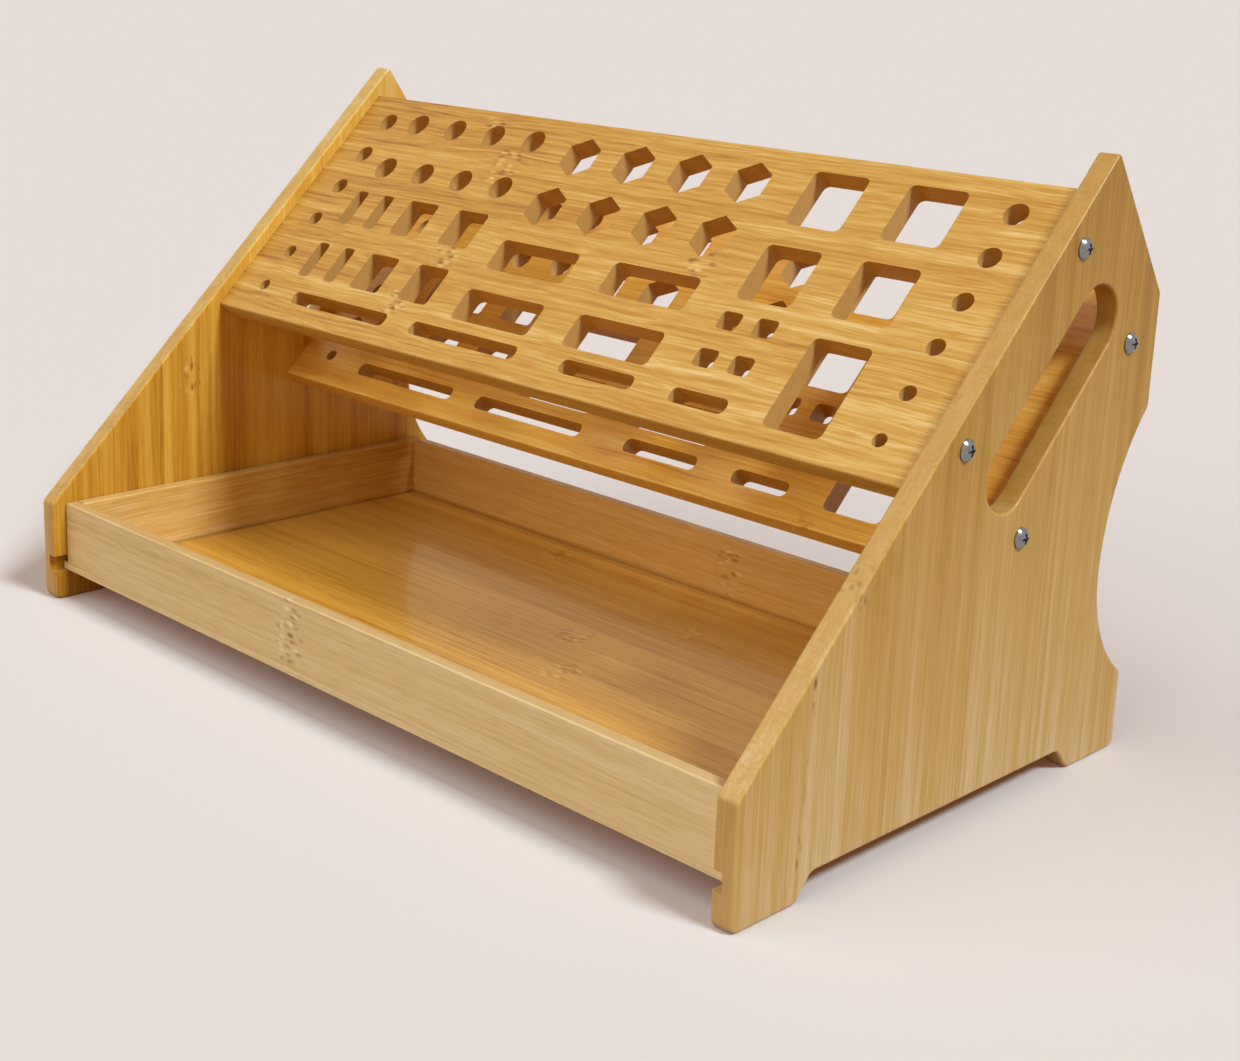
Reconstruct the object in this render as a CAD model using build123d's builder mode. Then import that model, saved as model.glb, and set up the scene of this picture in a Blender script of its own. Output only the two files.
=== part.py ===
"""Bamboo tool organizer, in millimetres.

Two side panels carry two perforated tool racks, screwed in between them parallel to the sloping
front edge, and a shallow tray that slides in grooves below the racks.
X runs to the right, Y to the back and Z up, with the origin on the ground under the middle.
"""

import os
from math import atan2, cos, degrees, hypot, sin

from build123d import *

os.makedirs("parts", exist_ok=True)

# Side panels: outline, seen from the side
overall_width = 370.0
panel_thickness = 8.0
panel_depth = 202.0
front_height = 40.0
crest_height = 208.6
crest_inset = 34.4
shoulder_drop = 47.6
waist_top = 122.0
waist_height = 67.0
waist_inset = 21.0
heel_height = 28.0

# Side panels: feet, between which the bottom edge is cut away
front_foot = 28.0
back_foot = 30.0
foot_height = 8.0
foot_slant = 7.0

# Side panels: rounded corners and eased rims
corner_radius = 3.0
crest_radius = 1.5
foot_radius = 4.0
panel_easing = 1.0

# Side panels: finger slot that serves as the handle
handle_length = 85.0
handle_width = 23.0
handle_depth = 34.7
handle_easing = 1.0

# Tool racks
rack_thickness = 8.0
rack_width = 118.0
rack_from_crest = 71.5
rack_depth = 4.5
rack_pitch = 48.0
rack_easing = 0.8

# Graded round holes, one column at each end of a rack
column_inset = 18.6
column_count = 6
column_pitch = 18.1
column_largest = 9.0
column_step = 0.75

# The hole pattern: places and pitches are along the rack from its middle and up the slope,
# those along the rack for a rack of this length, to which they are stretched
pattern_length = 354.0

# Round holes
round_count = (4, 2)
round_diameter = 11.0
round_centre = (-103.5, 34.0)
round_pitch = (23.8, 24.2)

# Hexagonal holes, turned so that a corner points up the slope
hexagon_count = (4, 2)
hexagon_flats = 16.5
hexagon_turn = 90.0
hexagon_centre = (4.8, 29.5)
hexagon_pitch = (28.7, 25.1)

# Square holes, and the tall one below them
square_count = (2, 2)
square_side = 24.0
square_centre = (105.8, 22.6)
square_pitch = (40.8, 33.3)
tall_length = 36.0
tall_drop = 55.2

# Small openings beside the tall hole
small_count = (2, 2)
small_size = (9.0, 7.5)
small_centre = (85.4, -23.4)
small_pitch = (15.7, 15.9)

# Landscape slots
landscape_count = (2, 2)
landscape_size = (42.0, 14.4)
landscape_centre = (4.6, -20.4)
landscape_pitch = (60.2, 24.3)

# Medium square holes and the narrow upright slots beside them share two rows
shared_count = (2, 2)
shared_row = -14.3
shared_pitch = 28.1
medium_side = 17.5
medium_centre = (-86.6, shared_row)
medium_pitch = (30.0, shared_pitch)
upright_width = 6.7
upright_centre = (-132.7, shared_row)
upright_pitch = (16.6, shared_pitch)

# Long slots along the front edge: the middle and the length of each
front_slots = ((-107.2, 59.0), (-33.0, 59.0), (37.6, 35.5), (85.3, 25.0))
front_slot_width = 6.0
front_slot_row = -47.5

# Corner radii of the angular holes
large_hole_radius = 2.5
small_hole_radius = 1.8

# Wood screws that hold the racks
screw_spread = 78.4
screw_shank = 3.5
screw_length = 20.0
screw_point = 3.0
screw_head = 7.0
screw_head_rim = 0.5
screw_head_height = 2.4
screw_recess = (3.6, 0.9)
screw_recess_depth = 1.2
screw_panel_play = 0.25
screw_rack_play = 0.05
pilot_extra = 1.0

# Groove in the inner face of each panel, open in front and blind at the back
groove_floor = 11.5
groove_height = 6.5
groove_depth = 4.0

# Tray
tray_setback = 5.5
tray_back_inset = 17.5
tray_bottom_thickness = 3.0
tray_wall = 5.0
tray_wall_height = 25.0
tray_easing = 0.8
tray_corner_radius = 1.5
tray_side_play = 0.5
tongue_play = 0.4
runner_play = 0.3
groove_end_play = 0.5

# Places worked out from the sizes above
front_y = -panel_depth / 2
back_y = panel_depth / 2
outer_x = overall_width / 2
inner_x = outer_x - panel_thickness
crest_y = back_y - crest_inset
shoulder_z = crest_height - shoulder_drop
slope_angle = atan2(crest_height - front_height, crest_y - front_y)
slope_length = hypot(crest_height - front_height, crest_y - front_y)
rack_length = 2 * inner_x
pattern_stretch = rack_length / pattern_length
rack_middle = slope_length - rack_from_crest
tray_front_y = front_y + tray_setback
tray_back_y = back_y - tray_back_inset
tray_floor_z = groove_floor + runner_play + tray_bottom_thickness
tray_box_x = inner_x - tray_side_play
tray_span = 2 * (inner_x + groove_depth - tongue_play)


def on_slope(along, below):
    """Y and Z of a point along the slope from the front corner and below its edge."""
    y = front_y + along * cos(slope_angle) + below * sin(slope_angle)
    z = front_height + along * sin(slope_angle) - below * cos(slope_angle)
    return y, z


def slope_plane(below):
    """Plane parallel to the slope, centred on the racks, with its local Y pointing up the slope."""
    return Plane(
        origin=(0, *on_slope(rack_middle, below)),
        x_dir=(1, 0, 0),
        z_dir=(0, -sin(slope_angle), cos(slope_angle)),
    )


def screw_planes(x, depth, sides):
    """Planes facing outwards at the ends of the rack at this depth, where its screws go in."""
    middle = depth + rack_thickness / 2
    along = (rack_middle - screw_spread / 2, rack_middle + screw_spread / 2)
    return [
        Plane(origin=(side * x, *on_slope(place, middle)), z_dir=(side, 0, 0))
        for side in sides
        for place in along
    ]


upper_depth = rack_depth
lower_depth = rack_depth + rack_pitch

# Right side panel: profile, eased rims, finger slot, tray groove and screw holes
with BuildPart() as right_side_panel:
    waist = (back_y - waist_inset, waist_height)
    shoulder_end = (back_y, waist_top)
    heel = (back_y, heel_height)
    corners = {
        shoulder_end: corner_radius,
        (back_y, shoulder_z): corner_radius,
        (crest_y, crest_height): crest_radius,
        (front_y, front_height): corner_radius,
        (front_y, 0): corner_radius,
        (front_y + front_foot, 0): foot_radius,
        (front_y + front_foot + foot_slant, foot_height): foot_radius,
        (back_y - back_foot - foot_slant, foot_height): foot_radius,
        (back_y - back_foot, 0): foot_radius,
        (back_y, 0): corner_radius,
        heel: corner_radius,
    }
    with BuildSketch(Plane.YZ.offset(inner_x)) as profile:
        with BuildLine():
            Polyline(*corners)
            TangentArc(waist, shoulder_end, tangent=(0, 1))
            TangentArc(waist, heel, tangent=(0, -1))
        make_face()
        for corner, radius in corners.items():
            fillet(profile.vertices().sort_by_distance(corner)[0], radius)
    extrude(amount=panel_thickness)
    fillet(right_side_panel.faces().filter_by(Axis.X).edges(), panel_easing)
    with BuildSketch(Plane.YZ.offset(inner_x)):
        with Locations(on_slope(rack_middle, handle_depth)):
            SlotOverall(handle_length, handle_width, rotation=degrees(slope_angle))
    extrude(amount=panel_thickness, mode=Mode.SUBTRACT)
    fillet(right_side_panel.edges(Select.LAST).filter_by(Axis.X, reverse=True), handle_easing)
    with BuildSketch(Plane.YZ.offset(inner_x)):
        groove_run = tray_back_y + groove_end_play - front_y
        with Locations((front_y, groove_floor + groove_height / 2)):
            Rectangle(groove_run, groove_height, align=(Align.MIN, Align.CENTER))
        with Locations((front_y + groove_run, groove_floor + groove_height / 2)):
            Circle(groove_height / 2)
    extrude(amount=groove_depth, mode=Mode.SUBTRACT)
    for depth in (upper_depth, lower_depth):
        with Locations(*screw_planes(outer_x, depth, (1,))):
            Hole(screw_shank / 2 + screw_panel_play)

# Left side panel: the right one mirrored
with BuildPart() as left_side_panel:
    mirror(right_side_panel.part, about=Plane.YZ)


def stretched(along, up):
    """A place or pitch of the hole pattern, stretched along the rack with the rack's length."""
    return along * pattern_stretch, up


def tool_rack(depth):
    """Perforated board between the panels, its top face at this depth below the slope."""
    with BuildPart() as rack:
        with BuildSketch(slope_plane(depth)):
            Rectangle(rack_length, rack_width)
        extrude(amount=-rack_thickness)
        long_edges = rack.edges().filter_by(Axis.X)
        fillet(long_edges, rack_easing)
        with BuildSketch(slope_plane(depth)):
            for row in range(column_count):
                place = ((column_count - 1) / 2 - row) * column_pitch
                column_x = inner_x - column_inset
                with Locations((-column_x, place), (column_x, place)):
                    Circle((column_largest - row * column_step) / 2)
            with Locations(stretched(*round_centre)):
                with GridLocations(*stretched(*round_pitch), *round_count):
                    Circle(round_diameter / 2)
            with Locations(stretched(*hexagon_centre)):
                with GridLocations(*stretched(*hexagon_pitch), *hexagon_count):
                    RegularPolygon(
                        hexagon_flats / 2, side_count=6, major_radius=False, rotation=hexagon_turn
                    )
            with Locations(stretched(*square_centre)):
                with GridLocations(*stretched(*square_pitch), *square_count):
                    RectangleRounded(square_side, square_side, large_hole_radius)
            tall_x = square_centre[0] + square_pitch[0] / 2
            with Locations(stretched(tall_x, square_centre[1] - tall_drop)):
                RectangleRounded(square_side, tall_length, large_hole_radius)
            with Locations(stretched(*small_centre)):
                with GridLocations(*stretched(*small_pitch), *small_count):
                    RectangleRounded(*small_size, small_hole_radius)
            with Locations(stretched(*landscape_centre)):
                with GridLocations(*stretched(*landscape_pitch), *landscape_count):
                    RectangleRounded(*landscape_size, large_hole_radius)
            with Locations(stretched(*medium_centre)):
                with GridLocations(*stretched(*medium_pitch), *shared_count):
                    RectangleRounded(medium_side, medium_side, small_hole_radius)
            with Locations(stretched(*upright_centre)):
                with GridLocations(*stretched(*upright_pitch), *shared_count):
                    RectangleRounded(upright_width, medium_side, small_hole_radius)
            for middle, length in front_slots:
                with Locations(stretched(middle, front_slot_row)):
                    RectangleRounded(length, front_slot_width, large_hole_radius)
        extrude(amount=-rack_thickness, mode=Mode.SUBTRACT)
        with Locations(*screw_planes(inner_x, depth, (-1, 1))):
            Hole(screw_shank / 2 + screw_rack_play, screw_length - panel_thickness + pilot_extra)
    return rack


upper_tool_rack = tool_rack(upper_depth)
lower_tool_rack = tool_rack(lower_depth)

# One wood screw, standing on its head's seat, with a domed head and a cross recess
with BuildPart() as wood_screw:
    with BuildSketch(Plane.XZ):
        with BuildLine():
            Polyline(
                (0, screw_head_height),
                (0, -screw_length),
                (screw_shank / 2, screw_point - screw_length),
                (screw_shank / 2, 0),
                (screw_head / 2, 0),
                (screw_head / 2, screw_head_rim),
            )
            TangentArc(
                (0, screw_head_height), (screw_head / 2, screw_head_rim), tangent=(1, 0)
            )
        make_face()
    revolve(axis=Axis.Z)
    with BuildSketch(Plane.XY.offset(screw_head_height)):
        Rectangle(*screw_recess)
        Rectangle(*screw_recess, rotation=90)
    extrude(amount=-screw_recess_depth, mode=Mode.SUBTRACT)


def rack_screws(depth):
    """Two screws at each end of the rack at this depth, their heads on the outer faces."""
    with BuildPart() as screws:
        with Locations(*screw_planes(outer_x, depth, (-1, 1))):
            add(wood_screw.part)
    return screws


upper_rack_screws = rack_screws(upper_depth)
lower_rack_screws = rack_screws(lower_depth)

# Tray bottom: wider than the tray's walls, so that its side edges run in the grooves
with BuildPart() as tray_bottom:
    with BuildSketch(Plane.XY.offset(tray_floor_z)) as bottom_outline:
        with Locations((0, tray_back_y)):
            Rectangle(
                tray_span,
                tray_back_y - tray_front_y - tray_wall,
                align=(Align.CENTER, Align.MAX),
            )
        fillet(bottom_outline.vertices().group_by(Axis.Y)[-1], tray_corner_radius)
    extrude(amount=-tray_bottom_thickness)

# Tray front wall: covers the front ends of the bottom and of the side walls, and its foot,
# as thick as the bottom, reaches into the grooves too
with BuildPart() as tray_front_wall:
    with BuildSketch(Plane.XY.offset(tray_floor_z - tray_bottom_thickness)):
        with Locations((0, tray_front_y)):
            Rectangle(2 * tray_box_x, tray_wall, align=(Align.CENTER, Align.MIN))
    extrude(amount=tray_bottom_thickness + tray_wall_height)
    fillet(tray_front_wall.faces().sort_by(Axis.Z)[-1].edges(), tray_easing)
    with BuildSketch(Plane.XY.offset(tray_floor_z - tray_bottom_thickness)) as foot_outline:
        with Locations((0, tray_front_y)):
            Rectangle(tray_span, tray_wall, align=(Align.CENTER, Align.MIN))
        fillet(foot_outline.vertices().group_by(Axis.Y)[0], tray_corner_radius)
    extrude(amount=tray_bottom_thickness)

# Tray back wall: stands between the side walls
with BuildPart() as tray_back_wall:
    with BuildSketch(Plane.XY.offset(tray_floor_z)):
        with Locations((0, tray_back_y)):
            Rectangle(2 * (tray_box_x - tray_wall), tray_wall, align=(Align.CENTER, Align.MAX))
    extrude(amount=tray_wall_height)
    fillet(tray_back_wall.faces().sort_by(Axis.Z)[-1].edges().filter_by(Axis.X), tray_easing)

# Tray side walls: from the front wall to the back end of the tray
with BuildPart() as tray_right_wall:
    with BuildSketch(Plane.XY.offset(tray_floor_z)):
        with Locations((tray_box_x, tray_back_y)):
            Rectangle(
                tray_wall, tray_back_y - tray_front_y - tray_wall, align=(Align.MAX, Align.MAX)
            )
    extrude(amount=tray_wall_height)
    fillet(tray_right_wall.faces().sort_by(Axis.Z)[-1].edges().filter_by(Axis.Y), tray_easing)

with BuildPart() as tray_left_wall:
    mirror(tray_right_wall.part, about=Plane.YZ)

# One file for each piece, and one for each group of like screws
pieces = {
    "left_side_panel": left_side_panel,
    "right_side_panel": right_side_panel,
    "upper_tool_rack": upper_tool_rack,
    "lower_tool_rack": lower_tool_rack,
    "upper_rack_screws": upper_rack_screws,
    "lower_rack_screws": lower_rack_screws,
    "tray_bottom": tray_bottom,
    "tray_front_wall": tray_front_wall,
    "tray_back_wall": tray_back_wall,
    "tray_left_wall": tray_left_wall,
    "tray_right_wall": tray_right_wall,
}
for name, piece in pieces.items():
    piece.part.label = name
    export_step(piece.part, f"parts/{name}.step")
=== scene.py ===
"""Bamboo tool organizer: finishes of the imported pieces, floor, light and camera."""
import math

import bpy
import numpy as np
from mathutils import Matrix, Vector

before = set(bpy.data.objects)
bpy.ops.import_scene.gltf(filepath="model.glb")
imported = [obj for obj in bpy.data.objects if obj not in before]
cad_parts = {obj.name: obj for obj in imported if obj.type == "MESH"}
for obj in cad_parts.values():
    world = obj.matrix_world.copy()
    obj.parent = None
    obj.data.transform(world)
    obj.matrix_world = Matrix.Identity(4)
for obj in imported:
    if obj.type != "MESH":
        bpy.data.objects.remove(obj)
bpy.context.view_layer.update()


# Side panels: two boards of laminated bamboo, glued up from upright strips about 20 mm wide, sawn to
# shape, sanded and lacquered satin. They stand on their feet, and the racks are screwed in between them.


def srgb(code):
    """Linear colour of an sRGB hex code: c / 12.92 up to 0.04045, then ((c + 0.055) / 1.055) ** 2.4."""
    c = np.array([int(code[k : k + 2], 16) for k in (1, 3, 5)]) / 255
    linear = np.where(c <= 0.04045, c / 12.92, ((c + 0.055) / 1.055) ** 2.4)
    return (*linear.tolist(), 1.0)


def add(tree, kind, inputs=(), **settings):
    """One new shader node with its own settings; each input is a value or the output that feeds it."""
    made = tree.nodes.new("ShaderNode" + kind)
    for name, value in settings.items():
        setattr(made, name, value)
    for name, value in dict(inputs).items():
        if isinstance(value, bpy.types.NodeSocket):
            tree.links.new(value, made.inputs[name])
        else:
            made.inputs[name].default_value = value
    return made


def lacquered_bamboo(
    name,
    across,
    grain,
    tones,
    strip,
    wave,
    weights,
    lean=(0.0, 0.0),
    shift=0.0,
    marks=(),
    knuckle=None,
    edges="#AE8642",
    holes=None,
    joint_and_shade=None,
    coat=(0.35, 0.25),
):
    """Laminated bamboo under satin lacquer: straw to golden streaks along the grain, with a soft sheen.

    Strips `strip` mm wide lie side by side along `across` and run along `grain`. Each has its own tone
    and its own fibres, long streaks drawn as noise that is squeezed across the grain and swayed by
    `wave` mm. `tones` run from the darkest, most golden streak to the palest. `weights` say how far the
    strip, its broad bands, its fine lines and its short ticks move the tone, and `lean` moves it along
    the grain from a place in mm, by so much a mm. `shift` moves the strips across, in mm. `marks` are
    the knuckles of the culm, patches of short dabs, given by their place along the grain, their place
    across it and their half width across, in mm. `knuckle` is the dabs' dark and pale colour where it
    isn't the first and the last tone. `edges` is the colour that the sawn edges even out to. `holes` is
    the middle and the half width, in mm, of the part across that has holes. `joint_and_shade` is the place
    across, in mm, of the thin dark line where the board stands on another one. `coat` is the weight
    and the roughness of the lacquer."""
    material = bpy.data.materials.new(name)
    material.use_nodes = True
    tree = material.node_tree
    shader = tree.nodes["Principled BSDF"]
    across, grain = Vector(across).normalized(), Vector(grain).normalized()
    through = grain.cross(across)
    turn = Matrix((across, through, grain)).to_euler()
    millimetres = (1000, 1000, 1000)
    texture = add(tree, "TexCoord").outputs
    laid_out = {
        "Vector": texture["Object"],
        "Rotation": turn,
        "Scale": millimetres,
        "Location": (shift, 0, 0),
    }
    place = add(tree, "Mapping", laid_out).outputs[0]
    parts = add(tree, "SeparateXYZ", {0: place}).outputs

    # each layer through the thickness has strips of its own, moved on by some strips and an odd part
    layer = 4.0
    moved_on = 7.31
    depth = add(tree, "Math", {0: parts[1], 1: layer}, operation="DIVIDE").outputs[0]
    sheet = add(tree, "Math", {0: depth}, operation="FLOOR").outputs[0]
    row = add(tree, "Math", {0: parts[0], 1: strip}, operation="DIVIDE").outputs[0]
    row = add(tree, "Math", {0: sheet, 1: moved_on, 2: row}, operation="MULTIPLY_ADD").outputs[0]
    strips = {"W": row, "Scale": 1.0, "Randomness": 0.7}
    own = add(tree, "TexVoronoi", strips, voronoi_dimensions="1D").outputs["Color"]
    seam = add(tree, "TexVoronoi", strips, voronoi_dimensions="1D", feature="DISTANCE_TO_EDGE")
    own_tone = add(tree, "SeparateXYZ", {0: own}).outputs[0]

    # fibres start elsewhere in each strip and wander a little, in bends 11 mm wide and 48 mm long
    start = (400, 400, 900)
    bend = (1 / 11, 1 / 11, 1 / 48)
    moved = add(tree, "VectorMath", {0: own, 1: start, 2: place}, operation="MULTIPLY_ADD").outputs[0]
    slow = add(tree, "VectorMath", {0: moved, 1: bend}, operation="MULTIPLY").outputs[0]
    sway = add(tree, "TexNoise", {"Vector": slow, "Scale": 1.0, "Detail": 1.0}).outputs["Color"]
    sway = add(tree, "VectorMath", {0: sway, 1: (0.5, 0.5, 0.5)}, operation="SUBTRACT").outputs[0]
    swayed = {0: sway, 1: (wave, wave, 0), 2: moved}
    fibre = add(tree, "VectorMath", swayed, operation="MULTIPLY_ADD").outputs[0]

    # broad bands, fine lines and short ticks: width and length in mm, detail and roughness of the noise;
    # a real bundle of fibres is 0.2 to 0.5 mm wide, so lines and ticks are drawn coarser to show at all
    drawn_as = ((6.0, 320.0, 2.0, 0.55), (1.1, 70.0, 2.0, 0.6), (0.8, 12.0, 1.0, 0.5))
    streaks = []
    for width, length, detail, rough in drawn_as:
        squeeze = (1 / width, 1 / width, 1 / length)
        drawn = add(tree, "VectorMath", {0: fibre, 1: squeeze}, operation="MULTIPLY").outputs[0]
        drawn = {"Vector": drawn, "Scale": 1.0, "Detail": detail, "Roughness": rough}
        streaks.append(add(tree, "TexNoise", drawn).outputs["Fac"])
    bands, lines, ticks = streaks
    level = 0.5 - 0.5 * sum(weights) - lean[0] * lean[1]
    tone = add(tree, "Math", {0: parts[2], 1: lean[1], 2: level}, operation="MULTIPLY_ADD").outputs[0]
    for part, weight in zip((own_tone, bands, lines, ticks), weights):
        tone = add(tree, "Math", {0: part, 1: weight, 2: tone}, operation="MULTIPLY_ADD").outputs[0]

    # on cut ends the fibres show as fine dots
    dot_depth = 0.15
    facing = add(tree, "VectorMath", {0: texture["Normal"], 1: grain}, operation="DOT_PRODUCT")
    facing = facing.outputs["Value"]
    cut = add(tree, "Math", {0: facing, 1: facing}, operation="MULTIPLY").outputs[0]
    dots = add(tree, "Math", {0: ticks, 1: 0.5}, operation="SUBTRACT").outputs[0]
    dots = add(tree, "Math", {0: dots, 1: cut}, operation="MULTIPLY").outputs[0]
    tone = add(tree, "Math", {0: dots, 1: dot_depth, 2: tone}, operation="MULTIPLY_ADD").outputs[0]
    ramp = add(tree, "ValToRGB", {"Fac": tone})
    stops = ramp.color_ramp.elements
    while len(stops) < len(tones):
        stops.new(0.5)
    for stop, at, code in zip(stops, np.linspace(0.12, 0.88, len(tones)), tones):
        stop.position = at
        stop.color = srgb(code)

    # knuckles: the nearest mark's distance is 1 at its rim, and inside lie dark and pale dabs, the cut
    # fibre bundles, each about 2 mm wide and 4 mm long, which is coarser than the real ones
    overlays = []
    if marks:
        dark_dab, pale_dab = knuckle or (tones[0], tones[-1])
        half_length = 7.0
        dab_size = (1 / 1.9, 1 / 1.9, 1 / 4.4)
        nearest = None
        for along, sideways, half_width in marks:
            middle = (sideways + shift, 0, along)
            extent = (1 / half_width, 0, 1 / half_length)
            away = add(tree, "VectorMath", {0: place, 1: middle}, operation="SUBTRACT").outputs[0]
            away = add(tree, "VectorMath", {0: away, 1: extent}, operation="MULTIPLY").outputs[0]
            away = add(tree, "VectorMath", {0: away}, operation="LENGTH").outputs["Value"]
            if nearest is not None:
                away = add(tree, "Math", {0: nearest, 1: away}, operation="MINIMUM").outputs[0]
            nearest = away
        inside = add(tree, "MapRange", {"Value": nearest, "From Min": 1.25, "From Max": 0.75}).outputs[0]
        bent = {0: sway, 1: (3, 3, 3), 2: place}
        cells = add(tree, "VectorMath", bent, operation="MULTIPLY_ADD").outputs[0]
        cells = add(tree, "VectorMath", {0: cells, 1: dab_size}, operation="MULTIPLY").outputs[0]
        dabs = add(tree, "TexVoronoi", {"Vector": cells, "Scale": 1.0}).outputs
        each = add(tree, "SeparateXYZ", {0: dabs["Color"]}).outputs[0]
        rim = {"Value": dabs["Distance"], "From Min": 0.6, "From Max": 0.2}
        body = add(tree, "MapRange", rim).outputs[0]
        body = add(tree, "Math", {0: body, 1: inside}, operation="MULTIPLY").outputs[0]
        is_pale = {"Value": each, "From Min": 0.6, "From Max": 0.15, "To Max": 0.85}
        is_dark = {"Value": each, "From Min": 0.35, "From Max": 0.75}
        for chosen, code in ((is_pale, pale_dab), (is_dark, dark_dab)):
            share = add(tree, "MapRange", chosen).outputs[0]
            share = add(tree, "Math", {0: share, 1: body}, operation="MULTIPLY").outputs[0]
            overlays.append((share, code))

    # sawn edges even out to one tone; the walls of holes turn golden along the grain, which is painted
    # warm bounce light, and tan across it, which is partly the paler end grain and partly painted light
    # where the lamp falls on them
    broad = add(tree, "VectorMath", {0: texture["Normal"], 1: through}, operation="DOT_PRODUCT")
    broad = add(tree, "Math", {0: broad.outputs["Value"]}, operation="ABSOLUTE").outputs[0]
    edge = add(tree, "MapRange", {"Value": broad, "From Min": 0.9, "From Max": 0.3}).outputs[0]
    sawn = add(tree, "Math", {0: edge, 1: 0.5}, operation="MULTIPLY").outputs[0]
    overlays.append((sawn, edges))
    if holes is not None:
        away = add(tree, "Math", {0: parts[0], 1: holes[0] + shift}, operation="SUBTRACT").outputs[0]
        away = add(tree, "Math", {0: away}, operation="ABSOLUTE").outputs[0]
        within = {"Value": away, "From Min": holes[1] + 1, "From Max": holes[1] - 1, "To Max": 0.5}
        wall = add(tree, "MapRange", within).outputs[0]
        wall = add(tree, "Math", {0: wall, 1: edge}, operation="MULTIPLY").outputs[0]
        end_wall = add(tree, "Math", {0: wall, 1: cut}, operation="MULTIPLY").outputs[0]
        # painted light: the golden tone stands in for warm bounce light on every hole wall, and the tan
        # partly for the lamp's light on the end-grain walls
        overlays.append((wall, "#C07C1C"))
        overlays.append((end_wall, "#CCB070"))

    # thin glue lines part the strips, and a soft dark line lies where the board stands on another, partly
    # its glue line and partly painted shade in the corner
    glue_width = 0.25
    glue_edge = glue_width / strip
    glue = {"Value": seam.outputs["Distance"], "From Min": glue_edge, "From Max": 0.0, "To Max": 0.3}
    overlays.append((add(tree, "MapRange", glue).outputs[0], tones[0]))
    if joint_and_shade is not None:
        foot = joint_and_shade + shift
        # painted shade: a soft dark band about 2 mm high at the board's foot, partly the glue line
        shade = {"Value": parts[0], "From Min": foot + 2.0, "From Max": foot + 0.2, "To Max": 0.5}
        overlays.append((add(tree, "MapRange", shade).outputs[0], "#6A3F0C"))

    # a Mix node's colours are its inputs 6, under, and 7, over, and its output 2
    colour = ramp.outputs["Color"]
    for share, code in overlays:
        both = {"Factor": share, 6: colour, 7: srgb(code)}
        colour = add(tree, "Mix", both, data_type="RGBA").outputs[2]
    tree.links.new(colour, shader.inputs["Base Color"])

    # satin lacquer lies thin over the fibres: pale lines are a little glossier, and all stand out 0.1 mm
    gloss = {"Value": lines, "From Min": 0.3, "From Max": 0.7, "To Min": 0.46, "To Max": 0.36}
    tree.links.new(add(tree, "MapRange", gloss).outputs[0], shader.inputs["Roughness"])
    relief = add(tree, "Math", {0: lines, 1: ticks}, operation="ADD").outputs[0]
    bump = add(tree, "Bump", {"Height": relief, "Strength": 0.25, "Distance": 0.00012})
    tree.links.new(bump.outputs[0], shader.inputs["Normal"])
    shader.inputs["Specular IOR Level"].default_value = 0.25
    shader.inputs["Coat Weight"].default_value = coat[0]
    shader.inputs["Coat Roughness"].default_value = coat[1]
    return material


def finish_with(material, *names):
    """Give the named CAD pieces this finish, in the material slots they already have."""
    for name in names:
        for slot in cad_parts[name].material_slots:
            slot.material = material


panel_cut = dict(across=(0, 1, 0), grain=(0, 0, 1), strip=21.0, wave=1.0)

# the right panel is straw-coloured and calm, with a few pits near the front; its paler tone towards its
# feet is painted light from the floor's bounce
right_panel_bamboo = lacquered_bamboo(
    "satin_lacquered_right_panel_bamboo",
    tones=("#996C10", "#B88E30", "#C9A75A", "#DFC99C"),
    weights=(0.12, 0.5, 0.36, 0.2),
    # painted light: paler towards the feet, where the floor's bounce falls
    lean=(104.0, -0.0023),
    marks=((64, -70, 1.2), (38, -72, 1.0), (16, -73, 1.2), (92, -50, 5), (150, 62, 9)),
    knuckle=("#7A5410", "#C2A052"),
    **panel_cut,
)
finish_with(right_panel_bamboo, "right_side_panel")

# the left panel is more golden and streaky, with duller edges
left_panel_bamboo = lacquered_bamboo(
    "satin_lacquered_left_panel_bamboo",
    tones=("#A46A16", "#D29D30", "#E5BA4C", "#EFD488"),
    weights=(0.18, 0.7, 0.5, 0.2),
    lean=(104.0, 0.0014),
    shift=9.0,
    marks=((84, -37, 5),),
    edges="#93784A",
    **panel_cut,
)
finish_with(left_panel_bamboo, "left_side_panel")


# Tool racks: two bamboo boards with the same routed and drilled holes, their strips running from
# panel to panel. They are screwed in one above the other, parallel to the panels' sloping edge.
front_height = 40.0
crest_height = 208.6
front_to_crest = 202.0 - 34.4
slope = math.atan2(crest_height - front_height, front_to_crest)
up_slope = (0, math.cos(slope), math.sin(slope))
rack_middle = 123.4
holed_half_width = 56.0
rack_cut = dict(
    across=up_slope,
    grain=(1, 0, 0),
    strip=19.0,
    weights=(0.14, 0.75, 0.95, 0.35),
    holes=(rack_middle, holed_half_width),
)

# the upper rack shows its golden, wavy streaks strongly and has rows of knuckles
upper_rack_bamboo = lacquered_bamboo(
    "satin_lacquered_upper_rack_bamboo",
    tones=("#8C5A12", "#B3812A", "#C49A44", "#D6B772"),
    lean=(0.0, 0.0005),
    wave=4.5,
    marks=((-75, 160, 7), (-72, 150, 6), (-94, 176, 4), (-71, 109, 8), (-80, 85, 6), (51, 128, 6)),
    knuckle=("#845216", "#D6B66C"),
    coat=(0.15, 0.3),
    **rack_cut,
)
finish_with(upper_rack_bamboo, "upper_tool_rack")

# the lower rack lies in the upper one's shade; its tones are brighter and more golden than the upper
# rack's, which is painted light that lifts that shade
lower_rack_bamboo = lacquered_bamboo(
    "satin_lacquered_lower_rack_bamboo",
    # painted light: these tones are raised to make up for the upper rack's shade
    tones=("#C47E20", "#E3A23A", "#EFB848", "#F4CC6A"),
    wave=3.5,
    shift=7.0,
    marks=((40, 100, 8), (-120, 130, 8), (110, 60, 8)),
    **rack_cut,
)
finish_with(lower_rack_bamboo, "lower_tool_rack")


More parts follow.
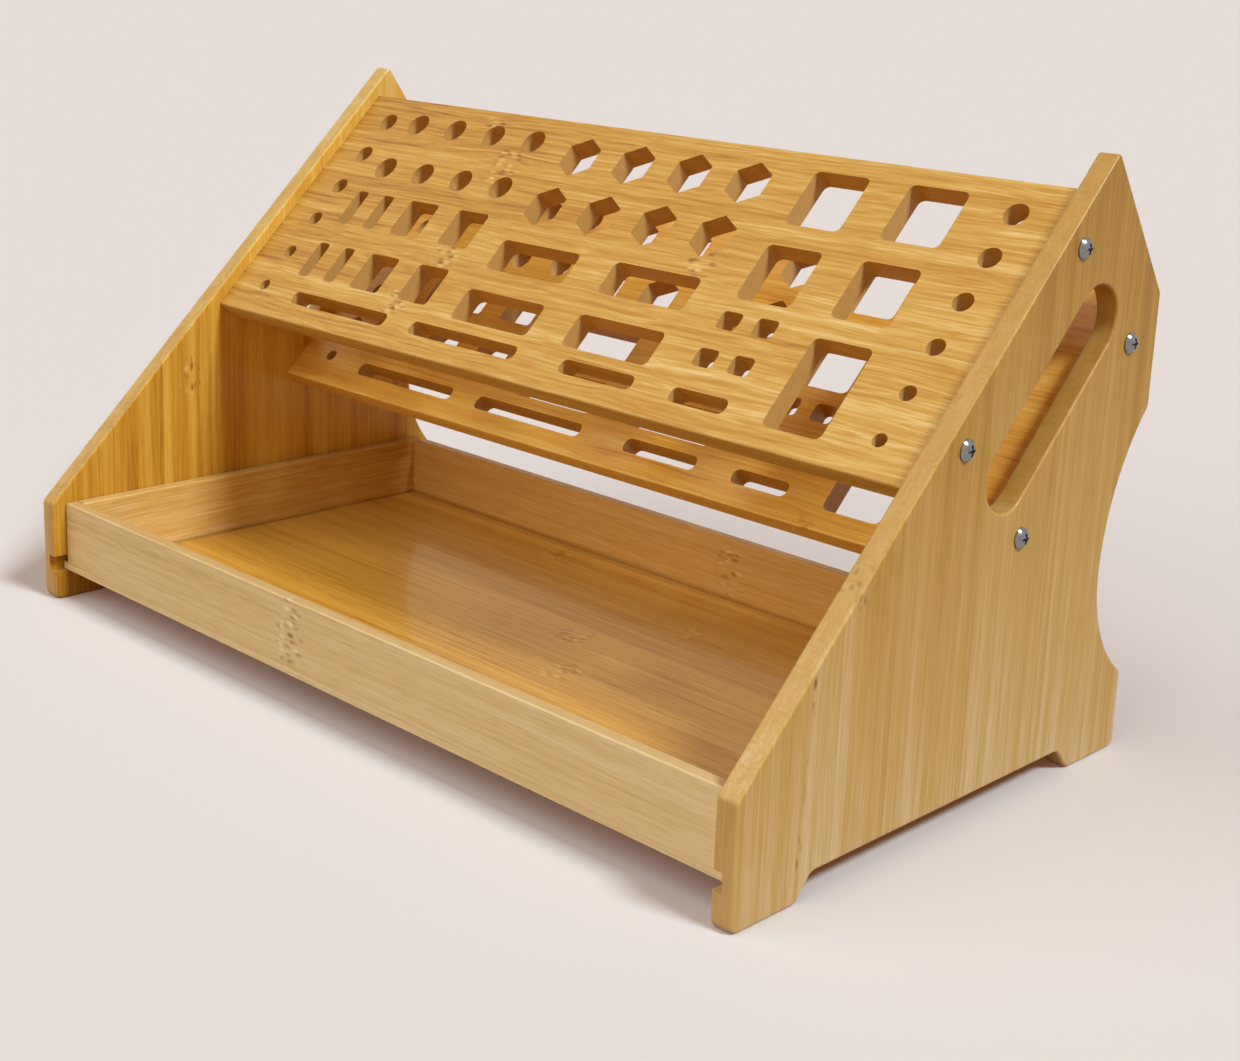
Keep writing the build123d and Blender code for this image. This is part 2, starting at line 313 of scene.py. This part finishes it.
# Rack screws: zinc-plated steel wood screws with domed cross-recess heads, driven through the panels
# into the ends of the racks. The bright plating mirrors the room softly, in faint spots about 1 mm wide.
spots_per_metre = 900.0
screw_zinc = bpy.data.materials.new("bright_zinc_plated_steel")
screw_zinc.use_nodes = True
zinc_tree = screw_zinc.node_tree
zinc_shader = zinc_tree.nodes["Principled BSDF"]
zinc_place = add(zinc_tree, "TexCoord").outputs["Object"]
zinc_spots = {"Vector": zinc_place, "Scale": spots_per_metre, "Detail": 2.0}
zinc_spots = add(zinc_tree, "TexNoise", zinc_spots).outputs["Fac"]
zinc_greys = {"Factor": zinc_spots, 6: srgb("#77797B"), 7: srgb("#A2A4A6")}
zinc_tint = add(zinc_tree, "Mix", zinc_greys, data_type="RGBA").outputs[2]
zinc_gloss = add(zinc_tree, "MapRange", {"Value": zinc_spots, "To Min": 0.12, "To Max": 0.26}).outputs[0]
zinc_tree.links.new(zinc_tint, zinc_shader.inputs["Base Color"])
zinc_tree.links.new(zinc_gloss, zinc_shader.inputs["Roughness"])
zinc_shader.inputs["Metallic"].default_value = 1.0
finish_with(screw_zinc, "upper_rack_screws", "lower_rack_screws")


# Tray: a thin bamboo bottom with low walls glued to it. The bottom is wider than the side walls, and its
# edges slide in the panels' grooves. The front wall covers the ends of the bottom and of the side walls,
# and its foot runs in the grooves too.

# the bottom is golden and glossier than the rest, so that it mirrors the pale room softly
tray_bottom_bamboo = lacquered_bamboo(
    "satin_lacquered_tray_bottom_bamboo",
    across=(0, 1, 0),
    grain=(1, 0, 0),
    tones=("#A4701A", "#C99534", "#DAAC48", "#E4C068"),
    strip=24.0,
    wave=1.2,
    weights=(0.2, 0.6, 0.5, 0.3),
    marks=((-60, 66, 7), (39, 37, 6), (14, 3, 8), (38, -25, 8)),
    coat=(0.24, 0.1),
)
finish_with(tray_bottom_bamboo, "tray_bottom")

# each wall is one wide strip on edge, with straight, fine grain and little gloss
wall_foot = 14.8
wall_cut = dict(
    across=(0, 0, 1),
    strip=30.0,
    wave=0.6,
    weights=(0.1, 0.4, 0.45, 0.4),
    shift=4.0,
    coat=(0.12, 0.3),
)

# the front wall is the palest board, with one broad knuckle
tray_front_bamboo = lacquered_bamboo(
    "satin_lacquered_tray_front_bamboo",
    grain=(1, 0, 0),
    tones=("#B6975E", "#D1B57A", "#DEC794", "#E9D9B2"),
    lean=(0.0, 0.0006),
    marks=((-27, 27, 13),),
    knuckle=("#8E6C3A", "#F0E2C2"),
    **wall_cut,
)
finish_with(tray_front_bamboo, "tray_front_wall")

# the back wall is browner than the front wall, partly its own tone and partly painted warm shade; it has
# one knuckle
tray_back_bamboo = lacquered_bamboo(
    "satin_lacquered_tray_back_bamboo",
    grain=(1, 0, 0),
    # partly painted shade: browner, more orange tones than the front wall's
    tones=("#B07C2C", "#CE9B46", "#DCAD5C", "#E5C27C"),
    marks=((24, 27, 11),),
    joint_and_shade=wall_foot,
    **wall_cut,
)
finish_with(tray_back_bamboo, "tray_back_wall")

# the side walls are straw-coloured; their paler tone towards the front is painted light, where the tray's
# front is lit and its back lies in the racks' shade
tray_side_bamboo = lacquered_bamboo(
    "satin_lacquered_tray_side_bamboo",
    grain=(0, 1, 0),
    tones=("#A87622", "#D0A248", "#E3C074", "#EEDCA8"),
    # painted light: paler towards the lit front, darker towards the shaded back
    lean=(-10.0, -0.0017),
    joint_and_shade=wall_foot,
    **wall_cut,
)
finish_with(tray_side_bamboo, "tray_left_wall", "tray_right_wall")


# Setting: a wide pale floor that runs out of the picture into a backdrop of the same colour. A lamp from
# the upper right gives the clear shadow on the inside of the left panel, a wide soft fill comes from the
# front, and a weak warm glow all round keeps the shade golden.


def seen_in(tree):
    """1 where the camera sees the surface itself, in a mirror or through glass, 0 for bounced light: the
    greatest of three flags of the light's path."""
    path = add(tree, "LightPath").outputs
    seen = {0: path["Is Camera Ray"], 1: path["Is Glossy Ray"]}
    seen = add(tree, "Math", seen, operation="MAXIMUM").outputs[0]
    return add(tree, "Math", {0: seen, 1: path["Is Transmission Ray"]}, operation="MAXIMUM").outputs[0]


# matt paint: seen pale and plain, with a faint painted warm glow that stands in for warm bounce light in
# its shade; it bounces light as a bench top would
reach = 30.0
corners = [(-reach, -reach, 0), (reach, -reach, 0), (reach, reach, 0), (-reach, reach, 0)]
floor_mesh = bpy.data.meshes.new("floor")
floor_mesh.from_pydata(corners, [], [(0, 1, 2, 3)])
floor = bpy.data.objects.new("floor", floor_mesh)
bpy.context.scene.collection.objects.link(floor)
floor_paint = bpy.data.materials.new("matt_pale_floor")
floor_paint.use_nodes = True
floor_tree = floor_paint.node_tree
floor_shader = floor_tree.nodes["Principled BSDF"]
floor_seen = seen_in(floor_tree)
floor_colours = {"Factor": floor_seen, 6: srgb("#A5825A"), 7: srgb("#CECFCA")}
floor_colour = add(floor_tree, "Mix", floor_colours, data_type="RGBA").outputs[2]
# painted light: a faint warm glow where the floor is seen, which warms its shadows
floor_painted_glow = add(floor_tree, "Math", {0: floor_seen, 1: 0.1}, operation="MULTIPLY").outputs[0]
floor_tree.links.new(floor_colour, floor_shader.inputs["Base Color"])
floor_tree.links.new(floor_painted_glow, floor_shader.inputs["Emission Strength"])
floor_shader.inputs["Emission Color"].default_value = srgb("#E08A58")
floor_shader.inputs["Roughness"].default_value = 1.0
floor_shader.inputs["Specular IOR Level"].default_value = 0.0
floor_mesh.materials.append(floor_paint)

world = bpy.data.worlds.new("pale_studio")
bpy.context.scene.world = world
world.use_nodes = True
room = world.node_tree
room.nodes.clear()
glow = add(room, "Background", {"Color": srgb("#FFA850"), "Strength": 0.17}).outputs[0]
backdrop = add(room, "Background", {"Color": srgb("#E5DDD6"), "Strength": 1.0}).outputs[0]
surroundings = add(room, "MixShader", {0: seen_in(room), 1: glow, 2: backdrop}).outputs[0]
add(room, "OutputWorld", {0: surroundings})


def lamp(name, towards, strength, spread, tint):
    """Distant lamp shining along `towards`, with this strength, apparent width in degrees and tint."""
    data = bpy.data.lights.new(name, "SUN")
    data.energy = strength
    data.color = srgb(tint)[:3]
    data.angle = math.radians(spread)
    made = bpy.data.objects.new(name, data)
    made.rotation_euler = Vector(towards).to_track_quat("-Z", "Y").to_euler()
    bpy.context.scene.collection.objects.link(made)


lamp("overhead_lamp", towards=(-0.8, -0.1, -1.0), strength=2.75, spread=14.0, tint="#EEF5FF")
lamp("front_fill", towards=(0.2, 0.78, -0.62), strength=2.3, spread=85.0, tint="#F4F9FF")

camera_data = bpy.data.cameras.new("camera")
camera_data.sensor_width = 36.0
camera_data.lens = 55.55
camera_data.shift_x = -0.0242
camera_data.shift_y = -0.0802
camera_data.clip_end = 200.0
camera = bpy.data.objects.new("camera", camera_data)
camera.location = (0.49225, -0.46878, 0.26396)
camera.rotation_euler = [math.radians(angle) for angle in (75.8226, -2.4302, 43.8654)]
bpy.context.scene.collection.objects.link(camera)
bpy.context.scene.camera = camera
bpy.context.scene.view_settings.view_transform = "Standard"
